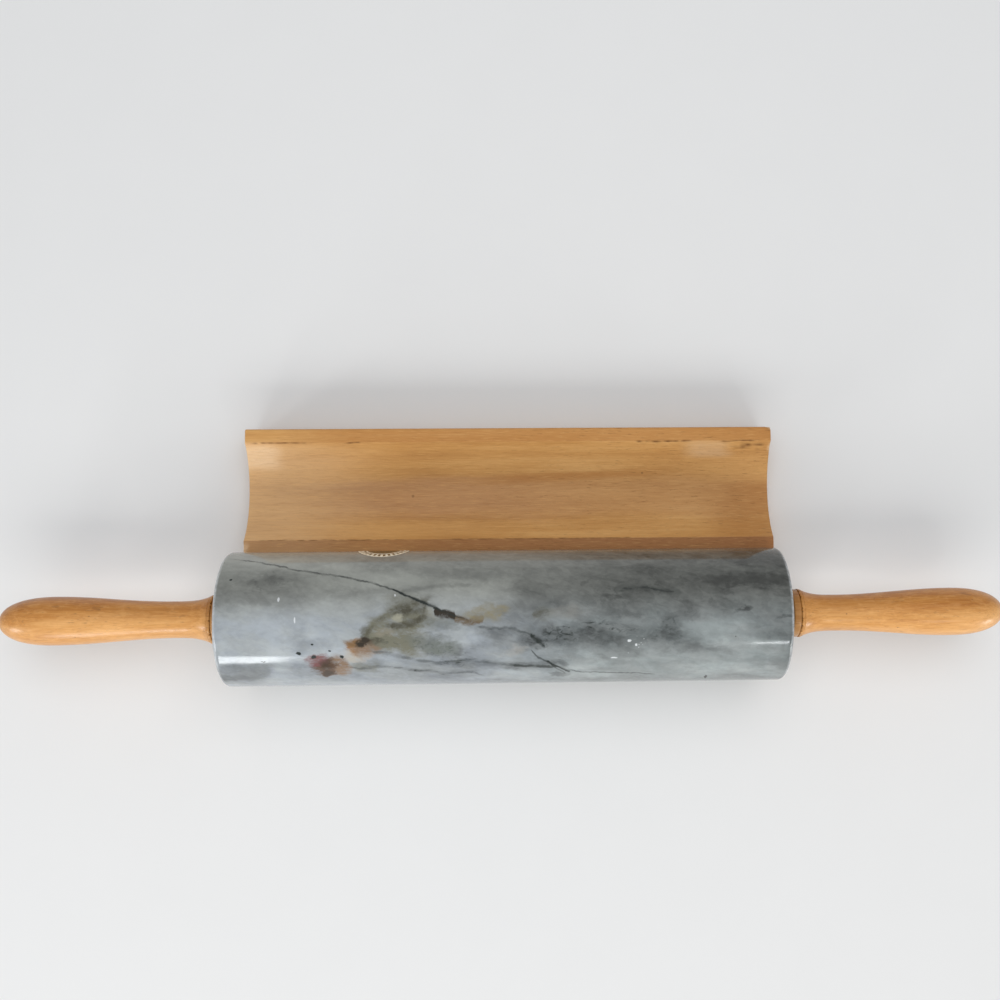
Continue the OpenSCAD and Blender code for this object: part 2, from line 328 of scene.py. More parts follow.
class BarrelChart:
    """The barrel's surface in mm along and round it, with blots and lines to draw on it."""

    def __init__(self, recipe):
        self.recipe = recipe
        self.point = recipe.point(BARREL_MID)
        self.along, across, up = self.point.parts()
        self.mm_per_degree = BARREL_R_MM * math.radians(1)
        self.round = across.math("ARCTAN2", up) * BARREL_R_MM
        wander = recipe.noise(self.point, 20, 14, 6.0, 0.62, output=1).parts()
        self.loose_along = self.along + (wander[0] - 0.5) * 22
        self.loose_round = self.round + (wander[1] - 0.5) * 16
        shiver = recipe.noise(self.point, 4.5, 4.5, 6.0, 0.68, output=1).parts()
        self.shaken_round = self.round + (shiver[0] - 0.5) * 3.2
        self.pinch = shiver[1] - 0.5
        self.broken = recipe.between(recipe.noise(self.point, 6, 2.5, 2.0), 0.4, 0.56)
        self.mottle = recipe.between(recipe.noise(self.point, 4.0, 2.4, 6.0, 0.74, 0.4), 0.3, 0.68)

    def blot(self, place, edge=0.75):
        """Mask of an oval blot with a ragged edge."""
        x, angle, half_long, half_round, strength = place
        u = self.loose_along.spread(x, half_long)
        v = self.loose_round.spread(angle * self.mm_per_degree, half_round)
        far = v.math("MULTIPLY_ADD", v, u * u)
        return self.recipe.between(far, (1 + edge) ** 2, (1 - edge) ** 2, strength)

    def blots(self, places, edge=0.75):
        return sum(self.blot(place, edge) for place in places)

    def dot(self, x, angle, half_long, half_round):
        """Mask of a small pit or crystal, close to its own place."""
        u = self.along.spread(x, half_long) + self.pinch * 2
        v = self.shaken_round.spread(angle * self.mm_per_degree, half_round)
        far = v.math("MULTIPLY_ADD", v, u * u)
        return self.recipe.between(far, 1.6, 0.5)

    def line(self, places, width, soft, strength=1.0, gaps=0.0, ragged=2.0):
        """Mask of a line whose ends run out; its curve holds -90 to 90 degrees as 0 to 1."""
        low, high = places[0][0], places[-1][0]
        share = (self.along - low) / (high - low)
        bends = [((x - low) / (high - low), angle / HALF_TURN + 0.5) for x, angle in places]
        middle = self.recipe.node("ShaderNodeFloatCurve", {"bends": bends}, {"Value": share})
        middle = (middle - 0.5) * (HALF_TURN * self.mm_per_degree)
        away = abs(self.shaken_round - middle) + self.pinch * (ragged * width)
        thin = self.recipe.between(abs(share - 0.5), 0.42, 0.51, width + soft)
        mask = self.recipe.between(away + thin, width + soft, width, strength)
        return mask * (self.broken * gaps + (1 - gaps)) if gaps else mask


def marble_clouds(m, chart, colours):
    """Grey clouds that wind slowly round the barrel, paler and bluer to the left, and warmer on the rear
    side, partly as a painted reflection of brown wood.
    """
    along, across, up = chart.point.parts()
    wound = m.node("ShaderNodeVectorRotate", {"rotation_type": "X_AXIS"}, {
        "Vector": chart.point, "Angle": along * -0.006})
    broad = m.noise(wound, 50, 17, 2.0, 0.5, 0.4)
    blotch = m.noise(wound, 12, 6, 5.0, 0.62, 0.5)
    fine = m.noise(chart.point, 3.0, 2.2, 3.0, 0.65)
    patch = m.between(m.noise(wound, 8, 4.5, 3.0, 0.55, 0.8), 0.46, 0.54)
    shade = m.between(along, 75, -115, 0.42) - m.between(along, -30, 50, 0.03)
    shade = shade + broad * 0.4 + blotch * 0.4 + fine * 0.24 + patch * 0.06 - 0.25
    shade = shade - chart.blots(DARK_CLOUDS) + chart.blots(PALE_CLOUDS)
    body = m.ramp(shade * 0.8 + 0.2, (0.0, dimmed(colours.marble_deep, 0.4)), (0.2, colours.marble_deep),
                  (0.6, colours.marble_mid), (1.0, colours.marble_pale))
    cool = m.mix(m.between(along, -20, 50), colours.blue_tint, colours.teal_tint)
    hue = m.between(m.noise(wound, 15, 8, 3.0, 0.6), 0.38, 0.62)
    cool = m.mix(hue * 0.55, cool, colours.grey_tint)
    # The rear side is tinted warm: partly warmer clouds and partly a painted reflection of brown wood.
    tint = m.mix(m.between(across, -4, 16), cool, colours.warm_and_reflected_tint)
    return m.mix(1.0, body, tint, "MULTIPLY")


def marble_stains(m, chart, colours, body):
    """Olive, rust and red-brown stains round the main vein."""
    def stain(body, mask, name):
        share = (mask * (chart.mottle * 0.8 + 0.5)).capped()
        return m.mix(share, body, getattr(colours, name))

    for name, edge, places in FIRST_STAINS:
        body = stain(body, chart.blots(places, edge), name)
    arc = chart.line(OLIVE_ARC, 0.8, 3.0, 0.75) + chart.line(OLIVE_STRAND, 0.3, 1.6, 0.4)
    body = stain(body, arc, "olive_pale")
    ring = chart.line(OLIVE_ARC, 0.2, 1.8, 0.42, 0.8) + chart.line(OLIVE_LOOP, 0.5, 1.7, 0.8)
    body = stain(body, ring, "olive")
    body = stain(body, chart.line(OCHRE_TAIL, 0.8, 1.6, ragged=1.0), "ochre")
    for name, edge, places in LAST_STAINS:
        body = stain(body, chart.blots(places, edge), name)
    return stain(body, chart.line(UMBER, 0.8, 1.7, 1.3, ragged=1.4), "umber")


def marble_lines(m, chart):
    """Mask of the dark veins, splinters and pits."""
    dark = sum((chart.line(*row) for row in DARK_LINES[1:]), chart.line(*DARK_LINES[0]))
    shards = sum(chart.line(shard, 0.1, 0.8, 0.45) for shard in SHARDS)
    dark = dark + shards * (chart.broken * 0.8 + 0.2)
    brush = m.between(m.noise(chart.point, 3.4, 1.7, 4.0, 0.6, 0.8), 0.5, 0.66)
    dark = dark + brush * chart.blots(SPLINTERS, 0.6) * 0.6
    dark = sum((chart.dot(*pit) for pit in PITS), dark)
    unseen = m.between(abs(chart.round), 42, 60)
    wild = abs(m.noise(chart.point, 70, 30, 6.0, 0.55, 0.6) - 0.5)
    return dark + m.between(wild, 0.008, 0.0, 0.7) * unseen


def marble_material(colours):
    """Polished grey marble with clouds, dark hair veins and a few iron stains."""
    m = Recipe("polished_marble")
    chart = BarrelChart(m)
    body = marble_clouds(m, chart, colours)
    body = marble_stains(m, chart, colours, body)
    body = m.mix(marble_lines(m, chart).capped(), body, colours.hair_vein)
    along, across, up = chart.point.parts()
    radius = (across * across + up * up).math("SQRT")
    # The rounded ends are paler and rougher: partly rubbed wear and partly a painted highlight along the
    # edge.
    rim = m.between(abs(along), BARREL_END_MM - 1.9, BARREL_END_MM - 0.8)
    rim = rim * m.between(radius, BARREL_R_MM - 2.4, BARREL_R_MM - 1.6)
    rim = rim * (chart.mottle * 0.3 + chart.broken * 0.15 + 0.12)
    body = m.mix(rim, body, colours.worn_and_highlit_edge)
    pits = m.dots(chart.point, 9.0, 0.45, 0.25)
    body = m.mix(pits * 0.6, body, colours.hair_vein)
    sparks = m.dots(chart.point, 1.2, 0.28, 0.8) * chart.blot((56, -22, 4.5, 2.6, 0.7))
    sparks = sparks + sum(chart.dot(*crystal) for crystal in CRYSTALS) * 0.7
    body = m.mix(sparks.capped(), body, colours.spark)
    smudge = m.noise(chart.point, 26, 18, 4.0, 0.6)
    return m.finish(body, smudge * 0.12 + rim * 0.3 + 0.06, pits * -1.0, 0.12)


def wood_grain(m, point, ring, fibre):
    """Shade from 0 to 1 of wood with its grain along X, its fibres and the mask of its pores."""
    drift = m.noise(point, ring * 30, ring * 6, 3.0)
    rings = m.noise(point, ring * 40, ring, 4.0, 0.55, 0.5)
    fibres = m.noise(point, fibre * 60, fibre, 4.0, 0.6)
    pores = m.noise(point, fibre * 14, fibre * 1.1, 2.0, 0.5)
    shade = drift + rings * 0.55 + fibres * 0.5 - 0.53
    return shade, fibres, m.between(pores, 0.64, 0.72)


def handle_material(colours, name, tone):
    """Turned hardwood under a thin old varnish, with painted shade that makes it browner to the rear and
    darker at the foot next to the barrel.
    """
    def wood(part, share=1.0):
        return dimmed(getattr(colours, "handle_" + part), tone * share)

    m = Recipe(name)
    point = m.point(BARREL_MID)
    shade, fibres, pores = wood_grain(m, point, 2.4, 0.3)
    body = m.ramp(shade, (0.2, wood("dark")), (0.5, wood("mid")), (0.8, wood("pale")))
    along, across, up = point.parts()
    sway = (m.noise(point, 40, 6, 3.0, 0.6) - 0.5) * 8
    # Painted shade: the rear of each handle is tinted darker and browner.
    rear = m.mix(1.0, body, colours.handle_rear, "MULTIPLY")
    body = m.mix(m.between(across + sway, -3, 7), body, rear)
    flecks = m.dots(point, 3.4, 0.5, 0.2) + m.dots(point, 11.0, 1.3, 0.2) * 0.5
    dashes = m.noise(point, 8.0, 0.7, 3.0, 0.6, 0.3)
    flakes = m.between(m.noise(point, 4.5, 2.2, 3.0, 0.6, 0.5), 0.5, 0.64)
    body = m.mix(m.between(dashes, 0.45, 0.7, 0.22), body, wood("pale", 1.1))
    body = m.mix(m.between(dashes, 0.5, 0.3, 0.18), body, wood("dark"))
    body = m.mix(flakes * 0.16, body, wood("pale", 1.15))
    smudges = m.between(m.noise(point, 9, 3, 4.0, 0.6), 0.6, 0.72)
    spots = pores * 0.4 + flecks * 0.5 + smudges * 0.3
    body = m.mix(spots.capped(), body, wood("pore"))
    # Painted shade: the foot of each handle darkens next to the barrel, up to a ragged edge.
    foot_shade_noise = m.noise(point, 9, 4, 4.0, 0.65)
    foot = m.between(abs(along) + (foot_shade_noise - 0.5) * 6, BARREL_END_MM + 10.5, BARREL_END_MM + 6.2)
    body = m.mix(foot * 0.2, body, wood("pore"))
    height = fibres * 0.5 - pores * 0.5 - flecks
    return m.finish(body, fibres * 0.16 + 0.3, height, 0.07,
                    **{"Specular IOR Level": 0.42, "Coat Weight": 0.3, "Coat Roughness": 0.18})


def cradle_material(colours):
    """Dry planed wood: straw at the rear, pinkish in the trough, with painted light on parts of the trough
    walls and painted shade that makes the front land redder.
    """
    m = Recipe("cradle_wood")
    point = m.point()
    shade, fibres, pores = wood_grain(m, point, 3.2, 0.32)
    along, across, up = point.parts()
    sway = (m.noise(point, 60, 10, 4.0, 0.6) - 0.5) * 24
    top = m.between(m.node("ShaderNodeTexCoord", output="Normal").parts()[2], 0.2, 0.5)
    body = m.ramp(shade, (0.15, colours.cradle_dark), (0.5, colours.cradle_mid), (0.85, colours.cradle_pale))
    middle = m.between(abs(across + sway * 0.5 + 3), 13, 5) * m.between(along, -112, -60)
    middle = middle * (m.between(along, 60, -30, 0.35) + 0.35)
    pink = m.mix(shade, dimmed(colours.cradle_pink, 0.85), dimmed(colours.cradle_pink, 1.15))
    body = m.mix(middle, body, pink)
    streak = m.between(abs(across + sway * 0.1 - along * 0.05 - 6), 3.4, 0.8)
    streak = streak * m.between(along + sway, -25, 5) * m.between(along + sway, 90, 40)
    body = m.mix(streak * (fibres * 0.5 + 0.35), body, colours.cradle_amber)
    # Painted light: brighter golden bands on the trough's rear wall at both ends and on its front wall left
    # of the middle.
    lit_bands = m.between(abs(across + sway * 0.2 - 11), 8, 3) * m.between(abs(along + sway - 16), 55, 85)
    lit_bands = lit_bands + m.between(abs(across + sway * 0.1 + 18), 4, 1) * m.between(abs(along + 50), 50, 20)
    body = m.mix((lit_bands * top * (fibres * 0.5 + 0.3)).capped(), body, colours.cradle_lit)
    amber_end = m.between(along + sway * 0.5, 88, 116) * m.between(across + sway * 0.3, 8, 1)
    body = m.mix(amber_end * top * 0.6, body, colours.cradle_amber)
    cream = m.between(along + sway * 1.5, -52, -112) * m.between(across, 25, 20)
    # Painted light: a pale patch on the rear wall of the trough at the left end, where light falls.
    lit_patch = m.between(along + sway * 0.3, -106, -115) * m.between(abs(across - 17), 7.5, 3)
    body = m.mix(cream * 0.35 + lit_patch * top * fibres * 0.9, body, colours.cradle_fresh_and_lit)
    straw = m.between(abs(along + sway * 0.5 - 94), 15, 5) * m.between(abs(across - 19.5), 5, 2)
    body = m.mix(straw * top * fibres * 0.8, body, dimmed(colours.cradle_fresh_and_lit, 0.9))
    rear_land = m.between(across, 22.9, 23.4) * m.between(along, -125, -70, 0.65)
    body = m.mix(rear_land * top, body, dimmed(colours.cradle_amber, 1.1))
    # Painted shade: the front land beside the pin is darker and redder, more so to the left.
    shaded_front_land = m.between(across, -22.9, -23.4) * (m.between(along, -125, 60, 0.3) + 0.5)
    body = m.mix(shaded_front_land * top, body, colours.cradle_land_shade)
    body = m.mix(pores * m.between(along + sway, -60, 60) * 0.4, body, colours.cradle_pore)
    body = m.mix(m.dots(point, 16.0, 1.0, 0.22) * 0.5, body, colours.cradle_pore)
    torn = m.node("ShaderNodeAttribute", {"attribute_name": "torn"}, output="Fac")
    fresh = m.node("ShaderNodeAttribute", {"attribute_name": "fresh"}, output="Fac")
    body = m.mix((fresh * (fibres * 1.2)).capped(), body, colours.cradle_fresh_and_lit)
    body = m.mix((torn * (fibres + 0.5)).capped(), body, colours.cradle_torn)
    dashes = m.noise(point, 7.0, 0.5, 3.0, 0.6, 0.3)
    body = m.mix(m.between(dashes, 0.5, 0.72, 0.3), body, dimmed(colours.cradle_pale, 1.1))
    body = m.mix(m.between(dashes, 0.5, 0.28, 0.3), body, colours.cradle_dark)
    height = fibres * 0.8 - pores * 0.5
    return m.finish(body, fibres * 0.2 + 0.46, height, 0.1)


def plain_material(name, colour, roughness, metallic, along, across):
    """Turned metal or moulded plastic with a faint grain."""
    m = Recipe(name)
    marks = m.noise(m.point(BARREL_MID), along, across)
    body = m.mix(marks * 0.4, colour, dimmed(colour, 0.6))
    return m.finish(body, marks * 0.2 + roughness, marks, 0.01, Metallic=metallic)


def swatch(label, description, default):
    return bpy.props.FloatVectorProperty(
        name=label, description=description, default=default, subtype="COLOR", size=3, min=0.0, max=1.0)


def length(label, description, default, low=0.0, high=2.0):
    return bpy.props.FloatProperty(
        name=label, description=description, default=default, min=low, max=high,
        unit="LENGTH", precision=5)


class PinColours(bpy.types.PropertyGroup):
    marble_deep: swatch("Dark marble", "Darkest clouds", (0.075, 0.075, 0.075))
    marble_mid: swatch("Marble", "Middle tone", (0.27, 0.27, 0.27))
    marble_pale: swatch("Pale marble", "Palest clouds", (0.47, 0.47, 0.47))
    blue_tint: swatch("Blue tint", "Tint of the left clouds", (0.855, 0.935, 1.0))
    teal_tint: swatch("Teal tint", "Tint of the right clouds", (0.865, 0.965, 0.955))
    grey_tint: swatch("Grey tint", "Tint of the patches in between", (0.9, 0.955, 0.935))
    # Warmer clouds, also a painted reflection of brown wood on the rear side
    warm_and_reflected_tint: swatch("Warm tint", "Tint of the warmer clouds", (0.95, 0.975, 0.88))
    # Rubbed edges, also a painted highlight along the barrel's ends
    worn_and_highlit_edge: swatch("Worn marble", "Rubbed edges", (0.72, 0.75, 0.77))
    hair_vein: swatch("Hair vein", "Dark veins and pits", (0.022, 0.027, 0.024))
    spark: swatch("Spark", "Tiny white crystals", (0.8, 0.83, 0.84))
    olive: swatch("Olive", "Dark olive stain", (0.075, 0.07, 0.048))
    olive_pale: swatch("Pale olive", "Pale olive stain", (0.165, 0.162, 0.12))
    olive_grey: swatch("Grey olive", "Greyer olive stain", (0.15, 0.165, 0.15))
    cream: swatch("Cream", "Cream patches", (0.36, 0.35, 0.27))
    beige: swatch("Beige", "Beige patches", (0.42, 0.365, 0.285))
    khaki: swatch("Khaki", "Khaki stain", (0.25, 0.22, 0.135))
    ochre: swatch("Ochre", "Ochre stain", (0.14, 0.105, 0.068))
    rust: swatch("Rust", "Brown rust stain", (0.19, 0.11, 0.05))
    amber: swatch("Amber", "Palest part of the rust", (0.27, 0.155, 0.075))
    tan_stain: swatch("Tan stain", "Tan edge of the red stain", (0.22, 0.15, 0.1))
    red_stain: swatch("Red stain", "Brown red stain", (0.1, 0.06, 0.038))
    rose: swatch("Rose", "Rosy part of the red stain", (0.18, 0.08, 0.078))
    umber: swatch("Umber", "Nearly black spots on the vein", (0.035, 0.027, 0.018))
    handle_dark: swatch("Dark handle wood", "Dark grain", (0.42, 0.165, 0.038))
    handle_mid: swatch("Handle wood", "Middle tone", (0.62, 0.292, 0.08))
    handle_pale: swatch("Pale handle wood", "Pale grain", (0.8, 0.435, 0.16))
    # Painted shade on the rear of the handles
    handle_rear: swatch("Rear of the handles", "Tint of the rear", (0.82, 0.65, 0.36))
    handle_pore: swatch("Handle pores", "Pores and flecks", (0.16, 0.07, 0.022))
    cradle_dark: swatch("Dark cradle wood", "Dark grain", (0.44, 0.2, 0.055))
    cradle_mid: swatch("Cradle wood", "Middle tone", (0.61, 0.315, 0.098))
    cradle_pale: swatch("Pale cradle wood", "Pale grain", (0.74, 0.43, 0.16))
    cradle_pink: swatch("Pinkish wood", "Middle of the trough", (0.53, 0.275, 0.125))
    cradle_amber: swatch("Amber wood", "Long darker streak", (0.44, 0.185, 0.045))
    # Painted light on the walls of the trough
    cradle_lit: swatch("Glowing wood", "Brighter bands", (0.7, 0.38, 0.13))
    # Painted shade of the front land beside the pin
    cradle_land_shade: swatch("Front land", "Land next to the pin", (0.31, 0.12, 0.042))
    cradle_pore: swatch("Cradle pores", "Pores and tears", (0.15, 0.065, 0.02))
    cradle_torn: swatch("Torn wood", "Bottom of the tears", (0.2, 0.085, 0.02))
    # Splintered wood, also the colour of the painted light patch at the left end of the trough
    cradle_fresh_and_lit: swatch("Fresh wood", "Splintered wood", (0.85, 0.6, 0.36))
    steel: swatch("Steel", "Rod and washers", (0.5, 0.5, 0.5))
    nylon: swatch("Nylon", "Bushings", (0.75, 0.72, 0.64))
    brass: swatch("Brass", "Inserts", (0.65, 0.45, 0.18))
    foil: swatch("Foil", "Ground of the label", (0.2, 0.125, 0.05))
    foil_raised: swatch("Raised foil", "Beads and lines of the label", (0.95, 0.88, 0.7))
    floor: swatch("Floor", "Plain floor", (0.8, 0.8, 0.79))


class PinSizes(bpy.types.PropertyGroup):
    bore: length("Bore", "Diameter of the barrel's bore", 0.013)
    barrel_edge: length("Barrel edge", "Radius of the barrel's rounded edges", 0.0025)
    collar_edge: length("Collar edge", "Radius of the collars' rounded edges", 0.0006)
    collar_hole: length("Collar hole", "Diameter of the hole in a collar", 0.0085)
    insert: length("Insert", "Diameter of the hole in a handle", 0.011)
    hole_depth: length("Hole depth", "Depth of the hole in a handle", 0.023)
    rim_length: length("Rim length", "Length of the rim round a handle's foot", 0.0014)
    rim_edge: length("Rim edge", "Radius of the rim's rounded edges", 0.0004)
    rim_step: length("Rim step", "Step from the rim down to the cove", 0.0002)
    neck: length("Neck", "Diameter of a handle's neck", 0.0167)
    neck_at: length("Neck place", "Distance of the neck from the foot", 0.019)
    grip: length("Grip", "Diameter of a handle at its fullest", 0.0221)
    grip_at: length("Grip place", "Distance of the fullest place from the foot", 0.072)
    land: length("Land", "Width of the land beside the trough", 0.0066)
    trough_room: length("Trough room", "Room between barrel and trough", 0.0005)
    cradle_edge: length("Cradle edge", "Width of the cradle's bevels", 0.0006)
    foil_thickness: length("Foil thickness", "Thickness of the label", 0.00015)
    label_height: length("Label height", "Height of the label, round the barrel", 0.021)
    floor_size: length("Floor size", "Side of the square floor", 4.0, 0.5, 10.0)


def finish_nodes(names, material):
    for name in names:
        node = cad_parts[name]
        node.data.materials.clear()
        node.data.materials.append(material)


def add_object(name, mesh, material):
    """Makes an object of a bmesh."""
    data = bpy.data.meshes.new(name)
    mesh.to_mesh(data)
    mesh.free()
    data.materials.append(material)
    made = bpy.data.objects.new(name, data)
    bpy.context.scene.collection.objects.link(made)
    return made


def add_piece(name, mesh, material, body, node):
    """Makes a smooth shaded object that stands for a node and moves with its body."""
    piece = add_object(name, mesh, material)
    piece.data.shade_smooth()
    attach(piece, body)
    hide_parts(node)


def both_sides(name):
    return [f"{name}_left", f"{name}_right"]


def corner(x, radius, edge, start, steps=6):
    """Points of a rounded corner as (place along the pin, radius), through a quarter turn."""
    angles = [start + math.pi / 2 * i / steps for i in range(steps + 1)]
    return [(x + edge * math.sin(a), radius + edge * math.cos(a)) for a in angles]


def join(mesh, line):
    """Joins a row of vertices up by edges."""
    return [mesh.edges.new(pair) for pair in zip(line, line[1:])]


def sweep(mesh, geometry, axis, steps):
    """Turns vertices and edges once round an axis, and closes the seam and the poles."""
    bmesh.ops.spin(mesh, geom=geometry, cent=(0, 0, 0), axis=axis, dvec=(0, 0, 0),
                   angle=2 * math.pi, steps=steps, use_merge=True)
    bmesh.ops.remove_doubles(mesh, verts=mesh.verts[:], dist=WELD)


def spun(outline, closed, steps=192):
    """Turns an outline of (place along X, radius) pairs once round the X axis."""
    mesh = bmesh.new()
    line = [mesh.verts.new((x, 0, radius)) for x, radius in outline]
    edges = join(mesh, line + line[:1] if closed else line)
    sweep(mesh, line + edges, (1, 0, 0), steps)
    bmesh.ops.recalc_face_normals(mesh, faces=mesh.faces[:])
    return mesh


def ring_outline(hole, outer, low, high, edge):
    """Closed outline of a ring from low to high, with rounded outer edges."""
    return [(low, hole), *corner(low + edge, outer - edge, edge, -math.pi / 2),
            *corner(high - edge, outer - edge, edge, 0), (high, hole)]


def swell(place, middle, half):
    """1 at the middle, falling to 0 at half the width to each side."""
    return max(0.0, 1 - ((place - middle) / half) ** 2)


def put(mesh, middle):
    bmesh.ops.translate(mesh, verts=mesh.verts[:], vec=middle)


class PIN_OT_barrel(bpy.types.Operator):
    """Turns and finishes the marble barrel"""
    bl_idname = "pin.barrel"
    bl_label = "Marble Barrel"

    def execute(self, context):
        sizes = context.scene.pin_sizes
        outline = ring_outline(sizes.bore / 2, BARREL_R, -BARREL_HALF, BARREL_HALF, sizes.barrel_edge)
        mesh = spun(outline, True, 256)
        put(mesh, BARREL_MID)
        marble = marble_material(context.scene.pin_colours)
        add_piece("polished_barrel", mesh, marble, "barrel", "marble_barrel")
        return {"FINISHED"}


class PIN_OT_label(bpy.types.Operator):
    """Lays an oval foil label with a beaded border on the rear of the barrel"""
    bl_idname = "pin.label"
    bl_label = "Foil Label"

    rings = 44
    beads = 28
    steps_per_bead = 10
    bead_ring = 0.83
    line_rings = (0.66, 0.96)
    ground = 0.3

    def execute(self, context):
        mesh = self.disc()
        self.wrap(mesh, context.scene.pin_sizes)
        foil = self.foil(context.scene.pin_colours)
        add_piece("round_label", mesh, foil, "barrel", "foil_label")
        return {"FINISHED"}

    def disc(self):
        """Embossed disc with a radius of 1, its height in shares of the foil's thickness."""
        mesh = bmesh.new()
        raised = mesh.verts.layers.float.new("raised")
        line = [mesh.verts.new((i / self.rings, 0, 0)) for i in range(self.rings + 1)]
        sweep(mesh, line + join(mesh, line), (0, 0, 1), self.beads * self.steps_per_bead)
        for vertex in mesh.verts:
            vertex[raised] = self.relief(vertex.co.xy.length, math.atan2(vertex.co.y, vertex.co.x))
            vertex.co.z = vertex[raised]
        bmesh.ops.recalc_face_normals(mesh, faces=mesh.faces[:])
        return mesh

    def wrap(self, mesh, sizes):
        """Lays the disc round the barrel, with its upper edge at the top of the label's box."""
        low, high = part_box("foil_label")
        half_width, half_height = (high.x - low.x) / 2, sizes.label_height / 2
        rise = high.z - BARREL_MID.z
        top = math.atan2(math.sqrt((BARREL_R + sizes.foil_thickness) ** 2 - rise ** 2), rise)
        middle = top + math.asin(half_height / BARREL_R)
        for vertex in mesh.verts:
            angle = middle - math.asin(vertex.co.y * half_height / BARREL_R)
            radius = BARREL_R + sizes.foil_thickness * (self.ground + vertex.co.z)
            vertex.co = ((low.x + high.x) / 2 + vertex.co.x * half_width,
                         BARREL_MID.y + radius * math.sin(angle),
                         BARREL_MID.z + radius * math.cos(angle))

    def relief(self, far, angle):
        """Height above the label's ground, as a share of the foil's thickness."""
        if far >= 1:
            return -self.ground
        bead = swell(far, self.bead_ring, 0.1) * max(0.0, 0.15 + math.cos(angle * self.beads))
        lines = sum(swell(far, ring, 0.04) for ring in self.line_rings)
        return (1 - self.ground) * (bead + 0.6 * lines)

    def foil(self, colours):
        m = Recipe("gold_foil")
        marks = m.noise(m.point(BARREL_MID), 1.6, 1.6, 4.0, 0.7)
        raised = m.node("ShaderNodeAttribute", {"attribute_name": "raised"}, output="Fac")
        share = m.between(raised + (marks - 0.5) * 0.4, 0.02, 0.2)
        body = m.mix(share, m.mix(marks, dimmed(colours.foil, 0.5), dimmed(colours.foil, 1.4)),
                     colours.foil_raised)
        return m.finish(body, marks * 0.2 + 0.35, marks, 0.02, Metallic=0.1)


class PIN_OT_handles(bpy.types.Operator):
    """Turns and finishes the handles and the collars"""
    bl_idname = "pin.handles"
    bl_label = "Handles and Collars"

    cove_power = 3.4
    tip_power = 2.3
    unevenness = 0.00012
    chip_depth = 0.0012

    def execute(self, context):
        colours, sizes = context.scene.pin_colours, context.scene.pin_sizes
        wood = handle_material(colours, "handle_wood", 1.0)
        # Painted shade: the collars get a darker copy of the handle wood, as they sit in the barrel's shade.
        dark = handle_material(colours, "collar_wood", 0.82)
        for side, out in (("left", -1), ("right", 1)):
            self.add_handle(sizes, side, out, wood)
            self.add_collar(sizes, side, dark)
        return {"FINISHED"}

    def add_handle(self, sizes, side, out, wood):
        low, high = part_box(f"handle_{side}")
        foot, tip = (low.x, high.x) if out > 0 else (high.x, low.x)
        rim = (high.z - low.z) / 2
        mesh = spun(self.outline(sizes, rim, abs(tip - foot)), False)
        self.wear(mesh, sizes, out)
        if out < 0:
            bmesh.ops.scale(mesh, vec=(-1, 1, 1), verts=mesh.verts[:])
            bmesh.ops.recalc_face_normals(mesh, faces=mesh.faces[:])
        put(mesh, (foot, BARREL_MID.y, BARREL_MID.z))
        add_piece(f"turned_handle_{side}", mesh, wood, "pin_frame", f"handle_{side}")

    def outline(self, sizes, rim, reach, steps=28):
        """Outline of a handle from its hole, round its foot and along its grip to its tip."""
        neck, grip = sizes.neck / 2, sizes.grip / 2
        cove = rim - sizes.rim_step
        shares = [i / steps for i in range(steps + 1)]
        hole = [(sizes.hole_depth, 0), (sizes.hole_depth, sizes.insert / 2), (0, sizes.insert / 2)]
        foot = corner(sizes.rim_edge, rim - sizes.rim_edge, sizes.rim_edge, -math.pi / 2)
        back = corner(sizes.rim_length - sizes.rim_edge, rim - sizes.rim_edge, sizes.rim_edge, 0)
        curve = [(sizes.rim_length + (sizes.neck_at - sizes.rim_length) * t,
                  neck + (cove - neck) * (1 - t) ** self.cove_power) for t in shares]
        belly = [(sizes.neck_at + (sizes.grip_at - sizes.neck_at) * t,
                  neck + (grip - neck) * (1 - math.cos(math.pi * t)) / 2) for t in shares[1:]]
        rounds = [math.sin(math.pi / 2 * t) for t in shares[1:]]
        power = self.tip_power
        end = [(sizes.grip_at + (reach - sizes.grip_at) * t,
                grip * max(0.0, 1 - t ** power) ** (1 / power)) for t in rounds]
        return [*hole, *foot, *back, *curve, *belly, *end]

    def wear(self, mesh, sizes, out):
        """Chips the edge of the foot and leaves the grip a little uneven, as by hand."""
        for vertex in mesh.verts:
            x, y, z = vertex.co
            radius = math.hypot(y, z)
            if radius < sizes.insert / 2 + 0.001:
                continue
            angle = math.atan2(y, z)
            around = Vector((math.cos(angle) * 2, math.sin(angle) * 2, x * 25 + out))
            uneven = noise.noise(around) * self.unevenness
            around = Vector((math.cos(angle) * 17, math.sin(angle) * 17, out * 3))
            near = max(0.0, 1 - x / (2.5 * sizes.rim_edge))
            bite = max(0.0, noise.noise(around) - 0.05) * self.chip_depth * near
            vertex.co.x += bite
            factor = (radius + uneven - 0.5 * bite) / radius
            vertex.co.y, vertex.co.z = y * factor, z * factor

    def add_collar(self, sizes, side, wood):
        low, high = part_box(f"collar_{side}")
        outline = ring_outline(sizes.collar_hole / 2, (high.z - low.z) / 2, low.x, high.x,
                               sizes.collar_edge)
        mesh = spun(outline, True, 128)
        put(mesh, (0, BARREL_MID.y, BARREL_MID.z))
        add_piece(f"turned_collar_{side}", mesh, wood, "pin_frame", f"collar_{side}")


